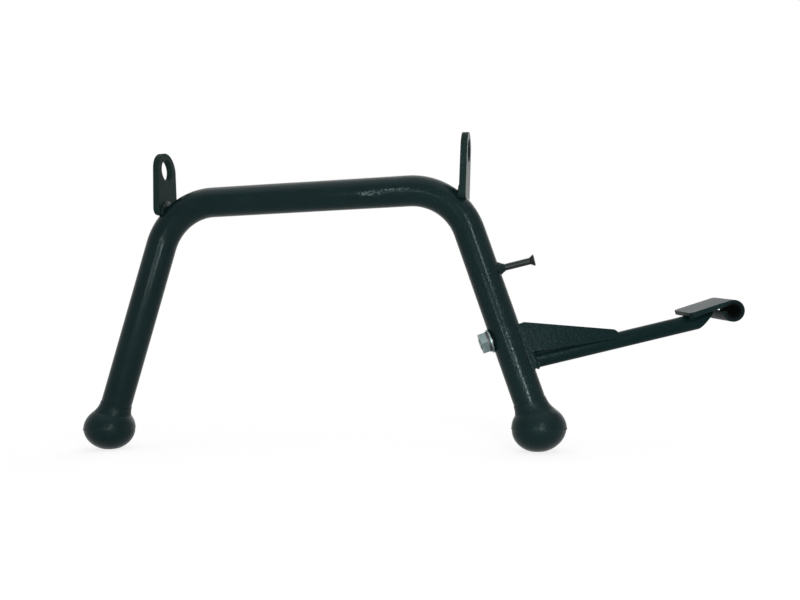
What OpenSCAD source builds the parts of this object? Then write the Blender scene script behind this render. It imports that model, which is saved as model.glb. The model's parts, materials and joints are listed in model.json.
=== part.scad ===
// Centre stand for a small motorcycle: a bent tube on two pressed feet, hung from two pivot lugs,
// with a spring post and a bolted foot lever on the leg at +X.
// Origin: middle of the pivot axis. +X is the lever side, +Y the rear of the machine, +Z up.

/* [Tube frame] */
// Outside diameter of the bent tube
tube_d = 28; // [24:0.5:32]
// Wall of the bent tube
tube_wall = 2.6; // [1.6:0.1:4]
// Bend radius on the tube's centre line
bend_r = 56; // [48:1:70]
// How much the tube's section draws in through the bends, on the radius
bend_slim = 0.1; // [0.1:0.1:0.6]
// Width between the points where the leg lines meet the crossbar's line
corner_span = 270; // [240:1:320]
// Splay of each leg from upright, in degrees
leg_splay = 17.7; // [12:0.1:24]
// Drop from the crossbar's line to the middle of the feet
leg_drop = 212; // [190:1:260]

/* [Pivot lugs] */
// Bore for the pivot spindle
pivot_d = 20; // [14:0.5:22]
// Metal around the top of the pivot bore
lug_rim = 6.5; // [5:0.5:10]
// Outward lean of the lug at +X, in degrees
lug_lean = 3.6; // [0:0.1:5]
// Thickness of each lug plate
lug_t = 6; // [4:0.5:8]
// Distance between the inner faces of the two lugs
lug_gap = 282; // [276:1:290]
// Height of the pivot axis above the crossbar's line
pivot_rise = 33; // [31:0.5:42]
// How far the lug's foot reaches below the crossbar's line
lug_foot = 11; // [9:0.5:14]
// Spread of the rear edge of the lug towards its foot
lug_spread = 4; // [0:0.5:6]
// Radius of the lug's lower corners
lug_corner_r = 6; // [2:0.5:8]
// Width of the weld bead between lug and tube
lug_bead = 3.4; // [2:0.2:5]

/* [Feet] */
// Outside diameter of a foot
foot_d = 47; // [44:0.5:60]
// Height of the upper cup above the foot's seam
foot_up = 21; // [19:0.5:28]
// Height of the lower cup's dome, before its lean and its worn flat
foot_down = 20; // [19:0.5:30]
// Lean of the lower cup's dome, lowest towards the middle of the stand, in degrees
sole_lean = 15; // [0:1:20]
// Depth of metal worn off the sole
sole_wear = 1; // [0.5:0.1:2]
// Metal thickness of the pressed foot cups
foot_wall = 3; // [2:0.5:4]
// Height of the weld collar at the neck of a foot
collar_h = 15; // [13:0.5:18]
// Height of the neck's top above the seam, along the leg
collar_top = 24; // [23:0.5:32]
// Radius of the collar's hollow side
collar_r = 20; // [16:1:26]
// Turn of the collar's hollow side, in degrees
collar_turn = 38; // [30:1:40]
// How far the seam weld stands proud of the cups
seam_proud = 0.7; // [0.3:0.1:1.5]
// Height of the seam weld
seam_h = 3; // [1.5:0.5:5]

/* [Spring post] */
// Diameter of the spring post
post_d = 6; // [5:0.5:9]
// Place of the post along the leg, from the upper corner
post_at = 80; // [70:1:100]
// Reach of the post from the leg's centre line
post_reach = 45; // [35:1:60]
// Dip of the post below square to the leg, in degrees
post_dip = 5.7; // [0:0.1:12]
// Diameter of the post's flared head
post_head_d = 10; // [9:0.5:14]
// Length of the flare
post_flare = 2.5; // [1.5:0.5:4]
// Thickness of the head's rim
post_rim = 1.2; // [0.8:0.2:2]
// Diameter of the weld at the post's root
post_weld_d = 13; // [10:0.5:16]
// Height of the weld at the post's root
post_weld_h = 5; // [3:0.5:7]

/* [Foot lever] */
// Place of the lever bar along the leg, from the upper corner
lever_at = 165; // [155:1:180]
// Sweep of the lever to the rear, in degrees
lever_sweep = 10; // [0:1:15]
// Dip of the lever bar below square to the leg, in degrees
lever_dip = 5.2; // [2:0.1:8]
// Diameter of the lever bar
bar_d = 14; // [12:0.5:16]
// Reach of the lever bar from the leg's centre line
bar_reach = 175; // [165:1:215]
// Length of the slanted cut at the bar's end
bar_scarf = 16; // [10:1:20]
// Sheet thickness of the lever bracket
bracket_t = 3; // [2:0.5:4]
// Reach of the bracket's cheeks along the bar, from the leg's centre line
cheek_reach = 90; // [70:1:110]
// Height of the bracket above the bar's line at the leg
bracket_rise = 32.5; // [32.5:0.5:44]
// Height of the cheeks' lower edge above the bar's line at the leg
cheek_lift = 7; // [4:0.5:9]
// Depth of the bracket below the bar's line at the leg
bracket_drop = 8.5; // [8.5:0.5:15]
// Height of the cheeks' blunt tip
cheek_tip = 8.5; // [6:0.5:10]
// Height of the middle of that tip above the bar's line
cheek_tip_lift = 6.3; // [5:0.1:7]

/* [Lever stud] */
// Thread diameter of the stud that holds the lever
bolt_d = 10; // [8:1:10]
// Height of the stud above the bar's line, along the leg
bolt_rise = 26.5; // [24:0.5:26.5]
// Diameter of the stud's flat head, inside the bracket
stud_head_d = 11.5; // [11:0.5:12]
// Thickness of the stud's flat head
stud_head_t = 2; // [1.5:0.5:4]
// Size across the flats of the nut
hex_flats = 17; // [15:0.5:17]
// Thickness of the nut
nut_t = 6; // [5:0.5:10]
// Length of thread past the nut
bolt_tail = 0.8; // [0.6:0.1:4]
// Outside diameter of the flat washer
washer_d = 21; // [18:0.5:22]
// Thickness of the flat washer
washer_t = 1.6; // [1.2:0.1:2.5]
// Outside diameter of the split spring washer
lock_d = 18; // [16:0.5:18]
// Thickness of the split spring washer
lock_t = 1.8; // [1.5:0.1:3]
// Wall of the sleeve that keeps the nut from crushing the leg
sleeve_wall = 2; // [1.5:0.1:3]

/* [Pedal] */
// Width of the pedal plate
pedal_w = 40; // [30:1:44]
// How far the pedal's inner edge lies back from the bar's end
pedal_back = 25; // [22:1:28]
// Length of the pedal's flat, up to its rolled end
pedal_l = 35.5; // [35:0.5:60]
// Sheet thickness of the pedal
pedal_t = 4; // [2:0.5:4]
// Outside radius of the rolled end
roll_r = 9.3; // [8:0.1:9.5]
// Turn of the rolled end, in degrees
roll_turn = 285; // [180:5:300]
// How much the sheet draws in through the roll, on each face
roll_slim = 0.1; // [0.1:0.1:0.4]
// Tilt of the pedal towards the front, in degrees
pedal_tilt = 9; // [0:1:18]
// Lift of the pedal's outer end from the bar, in degrees
pedal_lift = 4.5; // [0:0.5:6]
// Radius of the pedal's inner corners
pedal_corner_r = 4; // [1:0.5:8]
// Leg of the weld beads under the pedal
pedal_bead = 3; // [2:0.5:4]

/* [Hidden] */
$fn = 64;
// Gap between faces that lie against each other
seat = 0.05;
// Clearance of the stud in its holes
bolt_play = 0.3;
// Extra length of a cut past a face
past = 1;
// Turn by which the bends run on into the straights, in degrees
bend_lap = 1;
// Turn by which the pedal's roll runs back into its flat, in degrees
roll_lap = 3;
// Steps in a quarter of a pressed curve
quarter_steps = 14;
// Steps in a rounded sheet corner
corner_steps = 8;
// Steps round the top of a lug
crown_steps = 28;
// Thickness of a weld's thin edge
weld_rim = 0.4;
// Place of the spring washer's split round the stud, in degrees
split_turn = 200;
// Slant of that split, in degrees
split_slant = 30;
// Width of that split
split_gap = 1;
// Turn of the cheeks' rounded tip above level, in degrees
cheek_round = 60;
// Radius that a nut's chamfer leaves on its outer face, as a share of its corners' radius
hex_chamfer = 0.94;

tube_r = tube_d / 2;
bore_r = tube_r - tube_wall;
bend_angle = 90 - leg_splay;
bend_set = bend_r * tan(bend_angle / 2);
straight = corner_span / 2 - bend_set;
leg_len = leg_drop / cos(leg_splay);
foot_x = corner_span / 2 + leg_drop * tan(leg_splay);
foot_z = -pivot_rise - leg_drop;
foot_low = sqrt(pow(foot_d / 2 * sin(sole_lean), 2) + pow(foot_down * cos(sole_lean), 2)) - sole_wear;
lug_top_r = pivot_d / 2 + lug_rim;
lug_bottom = -pivot_rise - lug_foot;
bar_r = bar_d / 2;
web_in = tube_r + seat;
web_out = web_in + bracket_t;
cheek_in = bar_r + seat;
cheek_out = cheek_in + bracket_t;
bar_start = web_out + seat;
hex_r = hex_flats / 2 / cos(30);
sleeve_in = bolt_d / 2 + bolt_play;
sleeve_r = sleeve_in + sleeve_wall;
washer_x = tube_r + seat;
lock_x = washer_x + washer_t + seat;
nut_x = lock_x + lock_t + seat;
stud_head_x = web_out + seat;
pedal_at = bar_reach - pedal_back;
pedal_under = bar_r + seat;

// Places children on the lever-side leg, at a distance down its centre line, Z up along the leg
module on_leg(s) {
    translate([corner_span / 2 + s * sin(leg_splay), 0, -pivot_rise - s * cos(leg_splay)])
        rotate([0, -leg_splay, 0])
            children();
}

// Places children where the lever meets the leg, X out along the lever's sweep
module on_lever() {
    on_leg(lever_at) rotate([0, 0, lever_sweep]) children();
}

// Places children on the lever bar, X along the bar
module on_bar() {
    on_lever() rotate([0, lever_dip, 0]) children();
}

// Places children on the stud's line, Z pointing out through its head
module on_bolt() {
    on_lever() translate([0, 0, bolt_rise]) rotate([0, 90, 0]) children();
}

// Places children in the pedal's own tilt about the bar
module on_pedal() {
    on_bar() rotate([pedal_tilt, 0, 0]) children();
}

// Places children on the pedal's underside, X out from its inner edge
module on_plate() {
    on_pedal() translate([pedal_at, 0, pedal_under]) rotate([0, -pedal_lift, 0]) children();
}

module left() {
    mirror([1, 0, 0]) children();
}

// Solid form of the bend, for cutting what stands on it
module bend_form(r) {
    bend(0) circle(r);
}

// A flat section swept through the bend and a little way past both of its ends
module bend(lap) {
    translate([straight, 0, -pivot_rise - bend_r])
        rotate([90, 0, 0])
            rotate([0, 0, leg_splay - lap])
                rotate_extrude(angle = bend_angle + 2 * lap)
                    translate([bend_r, 0]) children();
}

module tube_section(slim) {
    difference() {
        circle(tube_r - slim);
        circle(bore_r - slim);
    }
}

// One bend and one leg
module tube_side() {
    bend(bend_lap) tube_section(bend_slim);
    on_leg(leg_len) linear_extrude(leg_len - bend_set) tube_section(0);
}

module stand_tube() {
    color("#1b2628")
        difference() {
            union() {
                translate([-straight, 0, -pivot_rise])
                    rotate([0, 90, 0])
                        linear_extrude(2 * straight) tube_section(0);
                tube_side();
                left() tube_side();
            }
            on_bolt() cylinder(h = tube_d + 2 * past, r = sleeve_r + seat, center = true);
        }
}

// Points of an arc, counted in steps, from one angle to another
function arc(cx, cy, r, from, to, steps) =
    [for (i = [0 : steps]) let (a = from + (to - from) * i / steps) [cx + r * cos(a), cy + r * sin(a)]];

// Side view of a lug: Y to the right, Z up, round about the bore
module lug_outline() {
    lean = atan(lug_spread / -lug_bottom);
    rear = lug_top_r + lug_spread;
    r = lug_corner_r;
    polygon(concat(
        arc(0, 0, lug_top_r, lean, 180, crown_steps),
        arc(-lug_top_r + r, lug_bottom + r, r, 180, 270, corner_steps),
        arc(rear - r, lug_bottom + r, r, -90, lean, corner_steps)
    ));
}

// Places children on a lug's inner face, leaning outward about the crossbar's line
module on_lug(lean) {
    translate([lug_gap / 2, 0, -pivot_rise]) rotate([0, lean, 0]) translate([0, 0, pivot_rise]) children();
}

// A lug plate, with its bore cut true to the pivot axis
module lug(lean) {
    color("#1d292b")
        difference() {
            on_lug(lean) rotate([90, 0, 90]) linear_extrude(lug_t) lug_outline();
            rotate([0, 90, 0]) cylinder(h = lug_gap, r = pivot_d / 2);
            bend_form(tube_r + seat);
        }
}

// Bead along the tube's crown, in the corner under the lug's inner face
module lug_weld(lean) {
    color("#232f31")
        difference() {
            intersection() {
                bend_form(tube_r + lug_bead);
                on_lug(lean)
                    translate([-lug_bead - seat, -tube_r, lug_bottom]) cube([lug_bead, tube_d, lug_foot + tube_d]);
            }
            bend_form(tube_r + seat);
        }
}

// Half of a foot's side view: a quarter oval with its middle on the seam
module foot_quarter(r, h) {
    polygon(concat([[0, 0]], [for (i = [0 : quarter_steps])
        let (a = 90 * i / quarter_steps) [i == quarter_steps ? 0 : r * cos(a), h * sin(a)]]));
}

module foot_dome(r, h) {
    rotate_extrude() foot_quarter(r, h);
}

// Whole flattened ball with its middle on the seam
module foot_ball(r, h) {
    rotate_extrude()
        polygon([for (i = [-quarter_steps : quarter_steps])
            let (a = 90 * i / quarter_steps) [abs(i) == quarter_steps ? 0 : r * cos(a), h * sin(a)]]);
}

module at_foot() {
    translate([foot_x, 0, foot_z]) children();
}

module foot_cup() {
    color("#1a2527")
        difference() {
            at_foot() foot_dome(foot_d / 2, foot_up);
            at_foot() foot_dome(foot_d / 2 - foot_wall, foot_up - foot_wall);
            on_leg(leg_len + foot_d) cylinder(h = 2 * foot_d, r = tube_r + seat);
        }
}

module foot_sole() {
    color("#182224")
        at_foot()
            difference() {
                intersection() {
                    rotate([0, -sole_lean, 0]) foot_ball(foot_d / 2, foot_down);
                    translate([0, 0, -foot_low]) cylinder(h = foot_low - seat, r = foot_d);
                }
                rotate([0, -sole_lean, 0]) foot_ball(foot_d / 2 - foot_wall, foot_down - foot_wall);
            }
}

// Low ring of weld over the line where the two cups meet
module foot_seam() {
    inner = foot_d / 2 + seat;
    color("#222e30")
        at_foot()
            rotate_extrude()
                polygon([
                    [inner, -seam_h / 2],
                    [inner + seam_proud, -seam_h / 4],
                    [inner + seam_proud, seam_h / 4],
                    [inner, seam_h / 2]
                ]);
}

module foot_collar() {
    neck = tube_r + seat;
    color("#202b2d")
        difference() {
            on_leg(leg_len)
                rotate_extrude()
                    polygon(concat(
                        [[neck, collar_top - collar_h], [neck, collar_top]],
                        arc(neck + weld_rim + collar_r, collar_top, collar_r, 180, 180 + collar_turn, corner_steps)
                    ));
            at_foot() foot_ball(foot_d / 2 + seat, foot_up + seat);
        }
}

module on_post() {
    on_leg(post_at) rotate([0, 90 + post_dip, 0]) children();
}

module spring_post() {
    shank = post_reach - post_flare - post_rim;
    color("#242b2b")
        difference() {
            on_post() {
                cylinder(h = shank, d = post_d);
                translate([0, 0, shank]) cylinder(h = post_flare, d1 = post_d, d2 = post_head_d);
                translate([0, 0, shank + post_flare]) cylinder(h = post_rim, d = post_head_d);
            }
            on_leg(post_at + post_reach) cylinder(h = 2 * post_reach, r = tube_r + seat);
        }
}

module post_weld() {
    root = tube_r - post_weld_h / 2;
    top = tube_r + post_weld_h;
    color("#222c2e")
        difference() {
            on_post() translate([0, 0, root]) cylinder(h = top - root, d1 = post_weld_d, d2 = post_d + 2 * weld_rim);
            on_post() cylinder(h = post_reach, d = post_d + 2 * seat);
            on_leg(post_at + post_reach) cylinder(h = 2 * post_reach, r = tube_r + seat);
        }
}

module bolt_sleeve() {
    color("#2a3234")
        intersection() {
            on_bolt()
                difference() {
                    cylinder(h = tube_d + past, r = sleeve_r, center = true);
                    cylinder(h = tube_d + 2 * past, r = sleeve_in, center = true);
                }
            on_leg(lever_at) cylinder(h = 2 * bolt_rise, r = tube_r);
        }
}

// Side view of a cheek: X out along the lever, Y up along the leg
module cheek_outline() {
    fall = tan(lever_dip);
    r = cheek_tip / 2;
    tip_y = cheek_tip_lift - cheek_reach * fall;
    polygon(concat(
        [[0, -bracket_drop], [web_out, -bracket_drop], [web_out + past, cheek_lift - web_out * fall]],
        arc(cheek_reach - r, tip_y, r, -90, cheek_round, corner_steps),
        [[web_out, bracket_rise], [0, bracket_rise]]
    ));
}

// Folded bracket: a web curved round the leg and two straight cheeks astride the bar
module lever_bracket() {
    color("#1c282a")
        on_lever()
            difference() {
                union() {
                    intersection() {
                        translate([0, 0, -bracket_drop]) cylinder(h = bracket_drop + bracket_rise, r = web_out);
                        translate([0, -cheek_in - bracket_t / 2, -bracket_drop - past])
                            cube([2 * web_out, 2 * cheek_in + bracket_t, bracket_drop + bracket_rise + 2 * past]);
                    }
                    for (side = [0, 1])
                        mirror([0, side, 0])
                            translate([0, cheek_out, 0])
                                rotate([90, 0, 0]) linear_extrude(bracket_t) cheek_outline();
                }
                translate([0, 0, -bracket_drop - past])
                    cylinder(h = bracket_drop + bracket_rise + 2 * past, r = web_in);
                translate([0, 0, bolt_rise]) rotate([0, 90, 0]) cylinder(h = 2 * web_out, r = sleeve_in);
            }
}

module lever_bar() {
    color("#1f2a2b")
        difference() {
            on_bar() rotate([0, 90, 0]) cylinder(h = bar_reach, r = bar_r);
            on_leg(lever_at + bar_d) cylinder(h = 2 * bar_d, r = bar_start);
            on_pedal()
                rotate([90, 0, 0])
                    linear_extrude(bar_d + past, center = true)
                        polygon([
                            [bar_reach - bar_scarf, -bar_r - past],
                            [bar_reach + past, bar_r - past],
                            [bar_reach + past, -bar_r - past]
                        ]);
        }
}

// Bead under the root of the bar, against the bracket's web and between its cheeks
module bar_weld() {
    bead = bracket_t + past;
    width = 2 * cheek_in - 2 * seat;
    color("#222d2f")
        difference() {
            on_bar()
                intersection() {
                    translate([web_out - past, 0, 0])
                        rotate([0, 90, 0]) cylinder(h = bead + past, r1 = bar_r + bead + past, r2 = bar_r + seat);
                    translate([0, -width / 2, -bracket_drop]) cube([cheek_reach, width, bracket_drop - bar_r / 2]);
                }
            on_bar() rotate([0, 90, 0]) cylinder(h = bar_reach, r = bar_r + seat);
            on_leg(lever_at + 2 * bar_d) cylinder(h = 4 * bar_d, r = web_out + seat);
        }
}

module pedal_plate() {
    r = pedal_corner_r;
    color("#202c2e")
        on_plate() {
            linear_extrude(pedal_t)
                polygon(concat(
                    arc(r, -pedal_w / 2 + r, r, 180, 270, corner_steps),
                    [[pedal_l, -pedal_w / 2], [pedal_l, pedal_w / 2]],
                    arc(r, pedal_w / 2 - r, r, 90, 180, corner_steps)
                ));
            translate([pedal_l, 0, pedal_t - roll_r])
                rotate([90, 0, 0])
                    rotate([0, 0, 90 - roll_turn])
                        rotate_extrude(angle = roll_turn + roll_lap)
                            translate([roll_r - pedal_t + roll_slim, roll_slim - pedal_w / 2])
                                square([pedal_t - 2 * roll_slim, pedal_w - 2 * roll_slim]);
        }
}

// Fillet between the bar's side and the pedal's underside: side 0 is the rear, 1 the front
module pedal_weld(side) {
    length = pedal_back - bar_scarf / 2 - 2 * pedal_bead;
    low = -seat - pedal_bead;
    color("#232e30")
        difference() {
            on_plate()
                mirror([0, side, 0])
                    translate([pedal_bead, 0, 0])
                        rotate([90, 0, 90])
                            linear_extrude(length)
                                polygon([
                                    [seat, low], [seat, -seat], [bar_r + pedal_bead, -seat], [bar_r, low - past]
                                ]);
            on_bar() rotate([0, 90, 0]) cylinder(h = bar_reach, r = bar_r + seat);
        }
}

// Hexagon with its corners turned down on the outer face
module hexagon(t) {
    intersection() {
        cylinder(h = t, r = hex_r, $fn = 6);
        cylinder(h = t, r1 = hex_r + t, r2 = hex_r * hex_chamfer);
    }
}

module lever_stud() {
    tail = nut_x + nut_t + bolt_tail;
    color("#8f9b9b")
        on_bolt() {
            translate([0, 0, stud_head_x]) cylinder(h = stud_head_t, d = stud_head_d);
            translate([0, 0, -tail]) cylinder(h = tail + stud_head_x, d = bolt_d);
        }
}

// Ring on the stud's line, on the inner side of the leg
module bolt_ring(x, t, r) {
    on_bolt()
        translate([0, 0, -x - t])
            difference() {
                cylinder(h = t, r = r);
                translate([0, 0, -past]) cylinder(h = t + 2 * past, r = sleeve_in);
            }
}

module flat_washer() {
    color("#9aa5a5") bolt_ring(washer_x, washer_t, washer_d / 2);
}

// Spring washer with its slanted split
module spring_washer() {
    color("#707a7a")
        difference() {
            bolt_ring(lock_x, lock_t, lock_d / 2);
            on_bolt()
                translate([0, 0, -lock_x - lock_t / 2])
                    rotate([0, 0, split_turn])
                        rotate([split_slant, 0, 0])
                            translate([0, -split_gap / 2, -lock_d / 2]) cube([lock_d, split_gap, lock_d]);
        }
}

module lever_nut() {
    color("#97a3a3")
        on_bolt()
            translate([0, 0, -nut_x])
                mirror([0, 0, 1])
                    difference() {
                        hexagon(nut_t);
                        translate([0, 0, -past]) cylinder(h = nut_t + 2 * past, d = bolt_d + 2 * seat);
                    }
}

stand_tube();
left() lug(0);  // lug_left
lug(lug_lean);  // lug_right
left() lug_weld(0);  // lug_weld_left
lug_weld(lug_lean);  // lug_weld_right
left() foot_cup();  // foot_cup_left
foot_cup();  // foot_cup_right
left() foot_sole();  // foot_sole_left
foot_sole();  // foot_sole_right
left() foot_seam();  // foot_seam_left
foot_seam();  // foot_seam_right
left() foot_collar();  // foot_collar_left
foot_collar();  // foot_collar_right
spring_post();
post_weld();
bolt_sleeve();
lever_bracket();
lever_bar();
bar_weld();
pedal_plate();
pedal_weld(1);  // pedal_weld_front
pedal_weld(0);  // pedal_weld_rear
lever_stud();
flat_washer();
spring_washer();
lever_nut();
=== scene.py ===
"""Looks of a motorcycle centre stand: gloss black paint over a bent tube, ball feet, lugs and a lever.

Every length is in metres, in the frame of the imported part: X along the pivot axis towards the
lever, Y to the rear of the machine, Z up, with the origin in the middle of the pivot axis.
"""

from __future__ import annotations

import json
import logging
import math
from dataclasses import dataclass, field
from enum import Enum
from functools import cache
from typing import Callable, Sequence

import bpy
from mathutils import Matrix, Vector

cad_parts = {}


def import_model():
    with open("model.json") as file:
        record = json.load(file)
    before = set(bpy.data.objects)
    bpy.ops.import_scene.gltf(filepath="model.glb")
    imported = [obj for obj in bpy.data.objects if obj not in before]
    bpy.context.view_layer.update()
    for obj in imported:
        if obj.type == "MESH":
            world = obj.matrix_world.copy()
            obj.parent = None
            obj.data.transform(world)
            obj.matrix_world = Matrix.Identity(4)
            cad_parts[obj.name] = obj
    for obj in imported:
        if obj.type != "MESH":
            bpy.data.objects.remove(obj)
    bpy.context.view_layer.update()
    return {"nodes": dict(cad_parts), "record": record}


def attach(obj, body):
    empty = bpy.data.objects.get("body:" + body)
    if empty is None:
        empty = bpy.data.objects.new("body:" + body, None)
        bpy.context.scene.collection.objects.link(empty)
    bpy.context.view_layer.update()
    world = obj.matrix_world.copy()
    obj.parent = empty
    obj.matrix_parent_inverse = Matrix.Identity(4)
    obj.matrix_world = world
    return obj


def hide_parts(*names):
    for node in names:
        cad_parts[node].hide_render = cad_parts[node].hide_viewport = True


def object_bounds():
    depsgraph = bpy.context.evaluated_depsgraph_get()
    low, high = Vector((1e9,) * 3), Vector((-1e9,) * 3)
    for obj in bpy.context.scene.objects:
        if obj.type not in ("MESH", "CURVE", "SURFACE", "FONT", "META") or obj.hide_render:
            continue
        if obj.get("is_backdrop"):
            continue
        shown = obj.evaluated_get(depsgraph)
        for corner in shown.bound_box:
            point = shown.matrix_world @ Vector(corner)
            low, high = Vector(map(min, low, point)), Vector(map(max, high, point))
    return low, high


log = logging.getLogger("centre_stand")
MM = 0.001
BODY = "root"
QUARTER = math.pi / 2
SEAT = 0.05 * MM  # gap between faces that lie against each other
ACROSS, BACK, UP = Vector((1.0, 0.0, 0.0)), Vector((0.0, 1.0, 0.0)), Vector((0.0, 0.0, 1.0))
WHITE = (1.0, 1.0, 1.0, 1.0)

Piece = bpy.types.Object
Material = bpy.types.Material
Tree = bpy.types.NodeTree
Socket = bpy.types.NodeSocket
Value = float | Sequence[float] | bpy.types.NodeSocket
Triple = tuple[float, float, float]


class Side(Enum):
    """The two ends of the pivot axis, as names give them; the lever is on the right."""

    LEFT = "left"
    RIGHT = "right"

    def of(self, name: str) -> str:
        """A name with this side at its end."""
        return f"{name}_{self.value}"


class Pick(Enum):
    """What a selection is made of."""

    POINTS = "VERT"
    EDGES = "EDGE"
    FACES = "FACE"


class Join(Enum):
    """What a boolean does with its tool."""

    TAKE_OUT = "DIFFERENCE"
    ADD = "UNION"
    KEEP_COMMON = "INTERSECT"


class Blend(Enum):
    """What a Mix node mixes."""

    COLOURS = "RGBA"
    NUMBERS = "FLOAT"


def move(x: float, y: float, z: float) -> Matrix:
    """A shift."""
    return Matrix.Translation((x, y, z))


def turn(angle: float, axis: str) -> Matrix:
    """A turn about X, Y or Z."""
    return Matrix.Rotation(angle, 4, axis)


# places


@dataclass(frozen=True)
class Layout:
    """Places that several sub-assemblies share.

    Attributes:
        corner: half the width between the corners of the tube's centre line.
        splay: splay of a leg from upright, in radians.
        rise: height of the pivot axis over the crossbar's centre line.
        drop: from the crossbar's centre line down to the seam of the feet.
        bend: bend radius on the centre line.
        tube: outside radius of the tube.
        lever_at: place of the lever bar along the leg.
        sweep: sweep of the lever to the rear.
        dip: dip of the lever bar.
        bolt_rise: height of the stud over the bar's line, along the leg.
        bar: radius of the lever bar.
        bar_reach: reach of the bar from the leg's centre line.
        scarf: length of the slanted cut at the bar's end.
        pedal_back: how far the pedal's inner edge lies back from the bar's end.
        pedal_tilt: tilt of the pedal towards the front.
        pedal_lift: lift of the pedal's outer end from the bar.
    """

    corner: float = 135.0 * MM
    splay: float = math.radians(17.7)
    rise: float = 33.0 * MM
    drop: float = 212.0 * MM
    bend: float = 56.0 * MM
    tube: float = 14.0 * MM
    lever_at: float = 165.0 * MM
    sweep: float = math.radians(10.0)
    dip: float = math.radians(5.2)
    bolt_rise: float = 26.5 * MM
    bar: float = 7.0 * MM
    bar_reach: float = 175.0 * MM
    scarf: float = 16.0 * MM
    pedal_back: float = 25.0 * MM
    pedal_tilt: float = math.radians(9.0)
    pedal_lift: float = math.radians(4.5)

    @property
    def bend_angle(self) -> float:
        """Angle that each bend turns through."""
        return QUARTER - self.splay

    @property
    def bend_set(self) -> float:
        """Distance from a corner of the centre line to the end of its bend."""
        return self.bend * math.tan(self.bend_angle / 2)

    @property
    def straight(self) -> float:
        """Half the straight length of the crossbar."""
        return self.corner - self.bend_set

    @property
    def leg(self) -> float:
        """Length of a leg's centre line from the corner to the foot's seam."""
        return self.drop / math.cos(self.splay)

    @property
    def foot(self) -> Vector:
        """Middle of the lever-side foot, on its seam."""
        return Vector((self.corner + self.drop * math.tan(self.splay), 0.0, -self.rise - self.drop))

    def down_leg(self, along: float) -> Matrix:
        """Frame on the lever-side leg, this far down from the corner, with Z up along the leg."""
        height = -self.rise - along * math.cos(self.splay)
        return move(self.corner + along * math.sin(self.splay), 0.0, height) @ turn(-self.splay, "Y")

    @property
    def lever(self) -> Matrix:
        """Frame where the lever meets the leg, X out along the lever's sweep."""
        return self.down_leg(self.lever_at) @ turn(self.sweep, "Z")

    @property
    def along_bar(self) -> Matrix:
        """Frame on the lever bar, X along the bar."""
        return self.lever @ turn(self.dip, "Y")

    @property
    def stud(self) -> Matrix:
        """Frame on the stud's line, Z out through its head."""
        return self.lever @ move(0.0, 0.0, self.bolt_rise) @ turn(QUARTER, "Y")

    @property
    def plate(self) -> Matrix:
        """Frame on the pedal's underside, X out from its inner edge."""
        inner_edge = move(self.bar_reach - self.pedal_back, 0.0, self.bar + SEAT)
        return self.along_bar @ turn(self.pedal_tilt, "X") @ inner_edge @ turn(-self.pedal_lift, "Y")


# modelling


@dataclass(frozen=True)
class Plane:
    """A plane that a piece is cut along.

    Attributes:
        point: a point on it.
        normal: its normal.
        drop_front: whether the side that the normal points to is dropped, or else the other.
    """

    point: Sequence[float]
    normal: Sequence[float]
    drop_front: bool = True


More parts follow.
